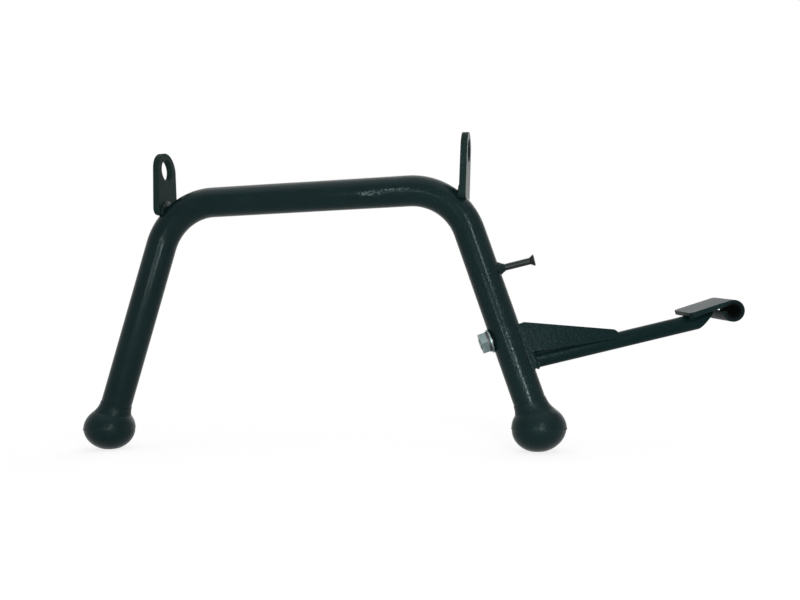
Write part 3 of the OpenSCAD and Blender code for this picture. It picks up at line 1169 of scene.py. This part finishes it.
@dataclass
class Feet:
    """The ball feet: two pressed cups, the seam bead between them and the collar at the neck.

    Attributes:
        at: the shared places.
        radius: outside radius of a foot.
        up: height of the upper cup.
        down: height of the lower cup before its lean and its worn flat.
        lean: lean of the lower cup, lowest towards the middle of the stand.
        wear: metal worn off the sole.
        neck_top: height of the neck weld's top above the seam, along the leg.
        hollow: radius of the neck weld's hollow side.
        turn: how far that hollow side turns.
        steps: faces along it.
    """

    at: Layout
    radius: float = 23.5 * MM
    up: float = 21.0 * MM
    down: float = 20.0 * MM
    lean: float = math.radians(15.0)
    wear: float = 1.0 * MM
    neck_top: float = 24.0 * MM
    hollow: float = 20.0 * MM
    turn: float = math.radians(38.0)
    steps: int = 9

    def ball(self, name: str, height: float, lean: float) -> Piece:
        """A flattened ball in the foot's place.

        Args:
            name: the piece's name.
            height: half its height.
            lean: its lean about Y.

        Returns:
            The ball, about the origin.
        """
        Bench.clear()
        bpy.ops.mesh.primitive_uv_sphere_add(segments=96, ring_count=64, radius=self.radius)
        bpy.context.object.scale = (1.0, 1.0, height / self.radius)
        bpy.context.object.rotation_euler = (0.0, lean, 0.0)
        return Bench.named(name)

    def collar(self, name: str) -> Piece:
        """Weld collar that runs from the leg out onto the upper cup, hollow in profile.

        Args:
            name: the piece's name.

        Returns:
            The collar in its place.
        """
        at = self.at
        rings = [(at.tube - 0.4 * MM, self.neck_top)]
        for step in range(self.steps + 1):
            angle = self.turn * step / self.steps
            radius = at.tube + 0.45 * MM + self.hollow * (1 - math.cos(angle))
            rings.append((radius, self.neck_top - self.hollow * math.sin(angle)))
        radius, height = rings[-1]
        rings.append((radius - 0.5 * MM, height - 4.0 * MM))
        collar = Bench.turned(name, rings, sides=96)
        Bead.wrap(collar, depth=0.16 * MM, sides=96, top=self.neck_top - 1.0 * MM)
        return Bench.finish(Bench.place(collar, at.down_leg(at.leg)), angle=60.0)

    def build(self, finish: Finishes) -> None:
        """Make both feet.

        Args:
            finish: the finishes.
        """
        right = Side.RIGHT
        spot, seam_level = Matrix.Translation(self.at.foot), (0.0, 0.0, 0.0)
        cup = self.ball(right.of("foot_upper"), self.up, 0.0)
        Bench.slice(cup, Plane(seam_level, UP, drop_front=False))
        Bench.finish(Bench.soften(Bench.place(cup, spot), 0.5 * MM, segments=2, angle=50.0))
        sole = self.ball(right.of("foot_lower"), self.down, -self.lean)
        low = math.hypot(self.radius * math.sin(self.lean), self.down * math.cos(self.lean)) - self.wear
        Bench.slice(sole, Plane(seam_level, -UP, drop_front=False), Plane((0.0, 0.0, -low), -UP))
        Bench.finish(Bench.soften(Bench.place(sole, spot), 0.6 * MM, angle=20.0))
        seam = Bead.ring(
            right.of("foot_seam_bead"), self.radius - 0.9 * MM, 1.25 * MM, UP, steps=144, depth=0.16 * MM
        )
        Bench.finish(Bench.place(seam, spot), angle=60.0)
        collar = self.collar(right.of("neck_weld"))
        hand_over_pair(cup, "foot_cup", finish.foot_paint)
        hand_over_pair(sole, "foot_sole", finish.sole_steel)
        hand_over_pair(seam, "foot_seam", finish.weld_paint)
        hand_over_pair(collar, "foot_collar", finish.weld_paint)


# the spring post


@dataclass
class SpringPost:
    """The flared post that the return spring hooks on, and the weld at its root.

    Attributes:
        at: the shared places.
        along: place along the leg from the upper corner.
        reach: reach from the leg's centre line.
        dip: dip below square to the leg.
        shank: radius of the post.
        head: radius of its flared head.
        flare: length of the flare.
        rim: thickness of the head's rim.
        soft: rounding of the head's edge.
        weld: radius of the weld at the root.
        weld_rise: height of that weld.
        sides: faces around both.
    """

    at: Layout
    along: float = 80.0 * MM
    reach: float = 45.0 * MM
    dip: float = math.radians(5.7)
    shank: float = 3.0 * MM
    head: float = 5.0 * MM
    flare: float = 2.5 * MM
    rim: float = 1.2 * MM
    soft: float = 0.35 * MM
    weld: float = 6.5 * MM
    weld_rise: float = 5.0 * MM
    sides: int = 64

    def build(self, finish: Finishes) -> None:
        """Turn the post and its weld.

        Args:
            finish: the finishes.
        """
        spot = self.at.down_leg(self.along) @ turn(QUARTER + self.dip, "Y")
        root, shoulder, rim = self.at.tube, self.reach - self.flare - self.rim, self.reach - self.rim
        profile = [
            (self.shank, root - 3.0 * MM),
            (self.shank, root + self.weld_rise),
            (self.shank, shoulder - 1.0 * MM),
            (self.shank + 0.15 * MM, shoulder - 0.1 * MM),
            (self.head - 0.2 * MM, rim - 0.1 * MM),
            (self.head, rim + 0.2 * MM),
            (self.head, self.reach - self.soft),
            (self.head - self.soft, self.reach),
            (1.2 * MM, self.reach),
        ]
        post = Bench.turned("spring_hook_post", profile, self.sides)
        Bench.finish(Bench.place(post, spot))
        hand_over(post, "spring_post", finish.post_paint)
        mound = [
            (self.weld, root - 2.5 * MM),
            (self.weld - 0.5 * MM, root + 0.2 * MM),
            (self.weld - 1.5 * MM, root + 1.4 * MM),
            (self.shank + 1.1 * MM, root + 2.8 * MM),
            (self.shank + 0.5 * MM, root + 4.3 * MM),
            (self.shank - 0.1 * MM, root + self.weld_rise),
        ]
        bead = Bench.turned("spring_post_weld", mound, self.sides)
        Bead.wrap(bead, depth=0.22 * MM, sides=self.sides, top=root + 3.0 * MM)
        Bench.finish(Bench.place(bead, spot), angle=60.0)
        hand_over(bead, "post_weld", finish.weld_paint)


# the lever


@dataclass
class Lever:
    """The foot lever: its folded bracket, its bar and the weld between them.

    Attributes:
        at: the shared places.
        sheet: sheet thickness of the bracket.
        reach: reach of the cheeks.
        rise: height of the bracket above the bar's line.
        drop: its depth below the bar's line.
        lift: height of the cheeks' lower edge at the leg.
        tip: height of the cheeks' tip.
        tip_lift: height of the middle of the tip above the bar's line.
        overlap: how far a cheek starts inside the web.
        nose: radius of the cheeks' tip.
        fold: outside radius of the folds.
        bead: radius of the root bead.
    """

    at: Layout
    sheet: float = 3.0 * MM
    reach: float = 90.0 * MM
    rise: float = 32.5 * MM
    drop: float = 8.5 * MM
    lift: float = 7.0 * MM
    tip: float = 8.5 * MM
    tip_lift: float = 6.3 * MM
    overlap: float = 5.0 * MM
    nose: float = 3.2 * MM
    fold: float = 1.6 * MM
    bead: float = 1.2 * MM

    def cheek(self, inner: float, web: float) -> Piece:
        """The long blade of one cheek, cut along its two slanted edges.

        Args:
            inner: Y of its inner face.
            web: X of the web's outer face.

        Returns:
            The blade, in the lever's frame.
        """
        fall = math.tan(self.at.dip)
        radius, tip_z = self.tip / 2, self.tip_lift - self.reach * fall
        start, low, middle = web - self.overlap, -20.0 * MM, inner + self.sheet / 2
        size = (self.reach - start, self.sheet, self.rise - low)
        centre = ((self.reach + start) / 2, middle, (self.rise + low) / 2)
        blade = Bench.block("bracket_cheek", size, centre)
        top = (web, self.rise), (self.reach - radius / 2, tip_z + radius * 0.87)
        under = (web + 1.0 * MM, self.lift - web * fall), (self.reach - radius, tip_z - radius)
        for edge, sign in ((top, 1.0), (under, -1.0)):
            first, last = (Vector((x, 0.0, z)) for x, z in edge)
            along = (last - first).normalized()
            Bench.slice(blade, Plane(first, Vector((-along.z, 0.0, along.x)) * sign))
        near = 0.1 * MM
        at_tip = self.reach - near
        Bench.round_edges(
            blade, lambda co: co.x > at_tip and abs(co.y - middle) < near, self.nose, segments=8
        )
        return blade

    def bracket(self) -> Piece:
        """The folded bracket: a saddle against the leg with a cheek on each side of the bar.

        Returns:
            The bracket in its place.
        """
        web = self.at.tube + SEAT + self.sheet
        inner = self.at.bar + SEAT
        outer = inner + self.sheet
        size = (web - 1.0 * MM, 2 * outer, self.rise + self.drop)
        middle = ((web + 1.0 * MM) / 2, 0.0, (self.rise - self.drop) / 2)
        saddle = Bench.block("lever_saddle_bracket", size, middle)
        front = web - 0.1 * MM
        Bench.round_edges(saddle, lambda co: co.x > front and abs(co.y) > inner, self.fold, segments=6)
        for side in (inner, -outer):
            Bench.combine(saddle, self.cheek(side, web), Join.ADD)
        reach = 80.0 * MM
        leg = Bench.rod("leg_form", self.at.tube + SEAT, (-reach, reach), turn(-QUARTER, "Y"), sides=96)
        Bench.soften(Bench.combine(saddle, leg), 0.5 * MM, angle=40.0)
        return Bench.finish(Bench.place(saddle, self.at.lever), angle=32.0)

    def bar(self) -> Piece:
        """The round bar with its slanted end.

        Returns:
            The bar in its place.
        """
        at = self.at
        bar = Bench.rod("lever_round_bar", at.bar, (at.tube + 1.5 * MM, at.bar_reach), Matrix(), sides=64)
        first = Vector((at.bar_reach - at.scarf, 0.0, -at.bar - 1.0 * MM))
        along = Vector((at.bar_reach + 1.0 * MM, 0.0, at.bar - 1.0 * MM)) - first
        tilt = turn(at.pedal_tilt, "X")
        normal = tilt @ Vector((-along.z, 0.0, along.x)).normalized()
        Bench.slice(bar, Plane(tilt @ first, -normal))
        Bench.soften(bar, 0.9 * MM, angle=25.0)
        return Bench.finish(Bench.place(bar, at.along_bar))

    def root_bead(self) -> Piece:
        """Rippled bead under the bar's root, between the cheeks.

        Returns:
            The bead in its place.
        """
        at = self.at
        bead = Bead.ring(
            "lever_root_weld", at.bar + 0.3 * MM, self.bead, ACROSS, steps=72, depth=0.25 * MM, every=3
        )
        Bench.place(bead, move(at.tube + self.sheet + 0.6 * MM, 0.0, 0.0))
        sides = Plane((0.0, at.bar, 0.0), BACK), Plane((0.0, -at.bar, 0.0), -BACK)
        Bench.slice(bead, Plane((0.0, 0.0, -2.0 * MM), UP), *sides)
        return Bench.finish(Bench.place(bead, at.along_bar), angle=60.0)

    def build(self, finish: Finishes) -> None:
        """Make the bracket, the bar and their weld.

        Args:
            finish: the finishes.
        """
        hand_over(self.bracket(), "lever_bracket", finish.lever_paint)
        hand_over(self.bar(), "lever_bar", finish.lever_paint)
        hand_over(self.root_bead(), "bar_weld", finish.weld_paint)


@dataclass
class Pedal:
    """The foot pedal: a sheet rolled over at its outer end, and the beads under it.

    Attributes:
        at: the shared places.
        width: its width.
        flat: length of its flat.
        sheet: its thickness.
        roll: outside radius of the rolled end.
        turn: how far the end is rolled.
        corner: radius of the inner corners.
        bead: leg of the beads.
        bead_radius: radius of the beads between their ripples.
        bead_steps: rings of points along a bead.
        ripple: height of a bead's ripples.
    """

    at: Layout
    width: float = 40.0 * MM
    flat: float = 35.5 * MM
    sheet: float = 4.0 * MM
    roll: float = 9.3 * MM
    turn: float = math.radians(285.0)
    corner: float = 4.0 * MM
    bead: float = 3.0 * MM
    bead_radius: float = 1.9 * MM
    bead_steps: int = 20
    ripple: float = 0.22 * MM

    def plate(self) -> Piece:
        """The sheet, spun round at its outer end.

        Returns:
            The pedal in its place.
        """
        half, near = self.sheet / 2, 0.1 * MM
        plate = Bench.block("foot_pedal", (self.flat, self.width, self.sheet), (self.flat / 2, 0.0, half))
        Bench.pick(plate, Pick.FACES, lambda co: co.x > self.flat - near)
        bpy.ops.mesh.spin(
            steps=44, angle=-self.turn, center=(self.flat, 0.0, self.sheet - self.roll), axis=BACK
        )
        Bench.round_edges(
            plate, lambda co: abs(co.x) < near and abs(co.z - half) < near, self.corner, segments=10
        )
        Bench.soften(plate, 0.55 * MM, angle=40.0)
        return Bench.finish(Bench.place(plate, self.at.plate), angle=34.0)

    def beads(self, finish: Finishes) -> None:
        """One bead along each side of the bar, under the pedal.

        Args:
            finish: the finishes.
        """
        at = self.at
        length = at.pedal_back - at.scarf / 2 - 2 * self.bead
        tip, past = 1.2 * MM, 0.5 * MM
        rings = [(tip, -past)]
        for step in range(self.bead_steps + 1):
            high = self.ripple if step % 2 else 0.0
            rings.append((self.bead_radius + high, length * step / self.bead_steps))
        rings.append((tip, length + past))
        for name, out in (("front", -5.9 * MM), ("rear", 5.9 * MM)):
            bead = Bench.turned(f"pedal_bead_{name}", rings, sides=24)
            Bench.apply(bead, "SUBSURF", levels=1, render_levels=1)
            Bench.place(bead, at.plate @ move(self.bead, out, -1.7 * MM) @ turn(QUARTER, "Y"))
            hand_over(Bench.finish(bead, angle=60.0), f"pedal_weld_{name}", finish.weld_paint)

    def build(self, finish: Finishes) -> None:
        """Make the pedal and its beads."""
        hand_over(self.plate(), "pedal_plate", finish.pedal_paint)
        self.beads(finish)


@dataclass
class Fasteners:
    """The stud through the leg with its washers and nut, on the leg's inner side.

    Attributes:
        at: the shared places.
        thread: radius of the stud.
        pitch: pitch of its thread.
        play: gap round it in the washers.
        head: radius of the stud's flat head.
        head_tall: thickness of that head.
        sheet: thickness of the bracket under the head.
        flats: size across the nut's flats.
        nut: thickness of the nut.
        tail: length of thread past the nut.
        washer: radius of the flat washer.
        washer_thick: its thickness.
        spring: radius of the spring washer.
        spring_thick: its thickness.
    """

    at: Layout
    thread: float = 5.0 * MM
    pitch: float = 1.5 * MM
    play: float = 0.3 * MM
    head: float = 5.75 * MM
    head_tall: float = 2.0 * MM
    sheet: float = 3.0 * MM
    flats: float = 17.0 * MM
    nut: float = 6.0 * MM
    tail: float = 0.8 * MM
    washer: float = 10.5 * MM
    washer_thick: float = 1.6 * MM
    spring: float = 9.0 * MM
    spring_thick: float = 1.8 * MM

    @property
    def washer_at(self) -> float:
        """Distance of the flat washer from the leg's centre line."""
        return self.at.tube + SEAT

    @property
    def spring_at(self) -> float:
        """Distance of the spring washer from the leg's centre line."""
        return self.washer_at + self.washer_thick + SEAT

    @property
    def nut_at(self) -> float:
        """Distance of the nut from the leg's centre line."""
        return self.spring_at + self.spring_thick + SEAT

    @staticmethod
    def drilled(obj: Piece, radius: float, sides: int) -> Piece:
        """Drill a hole along the stud's line."""
        reach = 50.0 * MM
        return Bench.combine(obj, Bench.rod("hole", radius, (-reach, reach), turn(-QUARTER, "Y"), sides))

    def ring(self, name: str, radius: float, start: float, thick: float) -> Piece:
        """A flat ring in the stud's frame.

        Args:
            name: the piece's name.
            radius: its outside radius.
            start: distance of its first face from the leg's centre line.
            thick: its thickness.

        Returns:
            The ring.
        """
        Bench.clear()
        bpy.ops.mesh.primitive_cylinder_add(
            vertices=96, radius=radius, depth=thick, location=(0.0, 0.0, -start - thick / 2)
        )
        return self.drilled(Bench.named(name), self.thread + self.play, sides=96)

    def split_washer(self) -> Piece:
        """The spring washer, a ring sawn through on the slant.

        Returns:
            The washer in the stud's frame.
        """
        ring = self.ring("lever_split_washer", self.spring, self.spring_at, self.spring_thick)
        saw = Bench.block("split", (self.spring, 1.0 * MM, 2 * self.spring), (self.spring / 2, 0.0, 0.0))
        slant = turn(math.radians(200.0), "Z") @ turn(math.radians(30.0), "X")
        Bench.place(saw, move(0.0, 0.0, -self.spring_at - self.spring_thick / 2) @ slant)
        return Bench.soften(Bench.combine(ring, saw), 0.25 * MM, segments=2)

    def hex_nut(self) -> Piece:
        """The hexagon nut, chamfered on its outer face.

        Returns:
            The nut in the stud's frame.
        """
        corner = self.flats / 2 / math.cos(math.pi / 6)
        middle = (0.0, 0.0, -self.nut_at - self.nut / 2)
        Bench.clear()
        bpy.ops.mesh.primitive_cylinder_add(vertices=6, radius=corner, depth=self.nut, location=middle)
        nut = Bench.named("lever_hex_nut")
        Bench.clear()
        bpy.ops.mesh.primitive_cone_add(
            vertices=96,
            radius1=corner * 0.94,
            radius2=corner + self.nut,
            depth=self.nut,
            location=middle,
        )
        Bench.combine(nut, Bench.named("chamfer"), Join.KEEP_COMMON)
        self.drilled(nut, self.thread + SEAT, sides=64)
        return Bench.soften(nut, 0.3 * MM, segments=2, angle=25.0)

    def stud(self) -> Piece:
        """The stud, with its thread turned as grooves and its flat head.

        Returns:
            The stud in its own frame.
        """
        tube, pitch = self.at.tube, self.pitch
        end = self.nut_at + self.nut + self.tail
        head_at = tube + SEAT + self.sheet + SEAT
        rings = [(self.thread - 1.0 * MM, -end), (self.thread - 0.6 * MM, -end)]
        for groove in range(int((end - tube) / pitch)):
            base = -end + 0.4 * MM + groove * pitch
            rings.append((self.thread, base))
            rings.append((self.thread, base + 0.25 * pitch))
            rings.append((self.thread - 0.7 * MM, base + 0.62 * pitch))
        rings += [
            (self.thread, -tube + 1.0 * MM),
            (self.thread, head_at),
            (self.head, head_at),
            (self.head, head_at + self.head_tall - 0.5 * MM),
            (self.head - 0.5 * MM, head_at + self.head_tall),
        ]
        return Bench.turned("lever_stud_bolt", rings, sides=64)

    def build(self, finish: Finishes) -> None:
        """Make both washers, the nut and the stud.

        Args:
            finish: the finishes.
        """
        washer = self.ring("lever_flat_washer", self.washer, self.washer_at, self.washer_thick)
        self.fit(Bench.soften(washer, 0.3 * MM, segments=2), "flat_washer", finish.zinc_plate, 35.0)
        self.fit(self.split_washer(), "spring_washer", finish.bare_steel, 35.0)
        self.fit(self.hex_nut(), "lever_nut", finish.zinc_plate, 30.0)
        self.fit(self.stud(), "lever_stud", finish.zinc_plate, 30.0)

    def fit(self, obj: Piece, node: str, material: Material, angle: float) -> None:
        """Put a piece on the stud's line and hand it over."""
        hand_over(Bench.finish(Bench.place(obj, self.at.stud), angle), node, material)


# stage


@dataclass(frozen=True)
class Lamp:
    """A rectangular soft lamp that looks at the stand, and never upwards.

    Attributes:
        name: its name.
        place: where it is.
        size: its width and height.
        power: its power in watts.
        aim: X of the point it looks at, and the height that point stays under.
    """

    name: str
    place: Triple
    size: tuple[float, float]
    power: float
    aim: tuple[float, float] = (0.05, -0.13)

    def build(self) -> None:
        """Add the lamp."""
        Bench.clear()
        bpy.ops.object.light_add(type="AREA", location=self.place)
        lamp = bpy.context.object
        lamp.name = self.name
        lamp.data.shape = "RECTANGLE"
        lamp.data.size, lamp.data.size_y = self.size
        lamp.data.energy = self.power
        aim = Vector((self.aim[0], 0.0, min(self.aim[1], self.place[2])))
        lamp.rotation_euler = (aim - Vector(self.place)).to_track_quat("-Z", "Y").to_euler()


LAMPS = (
    Lamp("high_strip", (0.42, -0.80, 0.14), (0.03, 0.20), 2.4),
    Lamp("low_strip", (0.36, -0.80, -0.19), (0.03, 0.13), 3.2),
    Lamp("left_strip", (-0.04, -0.95, -0.18), (0.04, 0.15), 1.0),
    Lamp("wide_lamp", (0.24, -0.85, -0.235), (0.30, 0.035), 1.0),
    Lamp("top_softbox", (0.1, 0.0, 1.7), (3.0, 3.0), 36.0),
    Lamp("back_softbox", (0.2, 2.2, 0.8), (2.0, 2.0), 16.0),
)


@dataclass
class Studio:
    """Floor, light and the camera at the photograph's angle.

    Attributes:
        gap: gap under the feet.
        grey: how light the floor is.
        shadowed: share of white that the floor shows near the stand.
        azimuth: the camera's turn towards the lever side.
        pitch: how far it looks up.
        roll: its roll, in radians.
        target: the point it looks at.
        distance: its distance from that point.
        sensor: width of its sensor in millimetres.
        focus: focal length, in widths of the sensor.
    """

    gap: float = 0.3 * MM
    grey: float = 0.9
    shadowed: float = 0.80
    azimuth: float = math.radians(10.8)
    pitch: float = math.radians(2.79)
    roll: float = 0.0223
    target: Triple = (83.6 * MM, 0.0, -131.0 * MM)
    distance: float = 681.0 * MM
    sensor: float = 36.0
    focus: float = 0.95

    @staticmethod
    def light_up(graph: Graph, seen: Socket, path: bpy.types.Node, dim: Socket, bright: Socket) -> None:
        """Show a bright shader to the camera, and always to glossy and transmission rays.

        Args:
            graph: the material's or world's graph.
            seen: share of bright that the camera sees.
            path: the Light Path node.
            dim: the shader for all other rays.
            bright: the bright shader.
        """
        for ray in ("Is Glossy Ray", "Is Transmission Ray"):
            seen = graph.maths("MAXIMUM", seen, path.outputs[ray])
        mix = graph.add("MixShader", {"Fac": seen, 1: dim, 2: bright})
        end = next(node for node in graph.tree.nodes if "Surface" in node.inputs)
        graph.put(end.inputs["Surface"], mix.outputs["Shader"])

    def floor(self) -> None:
        """A plain pale floor that shows as white and keeps a faint soft shadow near the stand."""
        Bench.clear()
        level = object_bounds()[0].z - self.gap
        bpy.ops.mesh.primitive_plane_add(size=12.0, location=(0.0, 0.0, level))
        floor = Bench.named("studio_floor")
        material, graph, shader = start_material("studio_white", (self.grey,) * 3)
        shader.inputs["Base Color"].default_value = (self.grey, self.grey, self.grey, 1.0)
        shader.inputs["Roughness"].default_value = 0.9
        shader.inputs["Specular IOR Level"].default_value = 0.0
        glow = graph.add("Emission", {"Color": WHITE})
        path = graph.add("LightPath")
        away = {"Value": graph.length(graph.coords()), "From Min": 0.30, "From Max": 0.60}
        fade = graph.add("MapRange", {**away, "To Min": self.shadowed}, interpolation_type="SMOOTHSTEP")
        seen = graph.maths("MULTIPLY", path.outputs["Is Camera Ray"], fade.outputs["Result"])
        self.light_up(graph, seen, path, shader.outputs["BSDF"], glow.outputs["Emission"])
        dress(floor, material)
        floor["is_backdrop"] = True

    def world(self) -> None:
        """A white surround that is seen, and reflected, brighter than it lights."""
        world = bpy.data.worlds.new("studio")
        bpy.context.scene.world = world
        world.use_nodes = True
        graph = Graph(world.node_tree)
        around = graph.tree.nodes["Background"]
        around.inputs["Color"].default_value = WHITE
        around.inputs["Strength"].default_value = 0.4
        white = graph.add("Background", {"Color": WHITE, "Strength": 1.0})
        path = graph.add("LightPath")
        shaders = around.outputs["Background"], white.outputs["Background"]
        self.light_up(graph, path.outputs["Is Camera Ray"], path, *shaders)

    def camera(self) -> None:
        """The camera that was fitted to the photograph's outline."""
        flat = math.cos(self.pitch)
        ahead = Vector(
            (-math.sin(self.azimuth) * flat, math.cos(self.azimuth) * flat, math.sin(self.pitch))
        )
        level = ahead.cross(UP).normalized()
        top = level.cross(ahead)
        right = level * math.cos(self.roll) - top * math.sin(self.roll)
        up = level * math.sin(self.roll) + top * math.cos(self.roll)
        place = Vector(self.target) - ahead * self.distance
        Bench.clear()
        bpy.ops.object.camera_add()
        camera = bpy.context.object
        camera.name = "photo_camera"
        camera.data.sensor_width = self.sensor
        camera.data.lens = self.focus * self.sensor
        camera.data.clip_start, camera.data.clip_end = 0.01, 50.0
        camera.matrix_world = Matrix.Translation(place) @ Matrix((right, up, -ahead)).transposed().to_4x4()
        bpy.context.scene.camera = camera

    def build(self) -> None:
        """Set the whole stage."""
        self.floor()
        self.world()
        for lamp in LAMPS:
            lamp.build()
        self.camera()
        bpy.context.scene.view_settings.view_transform = "Standard"


# main


def main() -> None:
    """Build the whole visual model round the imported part."""
    logging.basicConfig(level=logging.INFO, format="%(message)s")
    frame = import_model()
    at = Layout()
    finish = Finishes(at)
    for part in frame["record"]["subparts"]:
        dress(frame["nodes"][part["node"]], getattr(finish, part["material_slot"]))
    for assembly in (BentTube(at), Lugs(at), Feet(at), SpringPost(at), Lever(at), Pedal(at), Fasteners(at)):
        assembly.build(finish)
    Studio().build()
    Bench.clear()


if __name__ == "__main__":
    main()
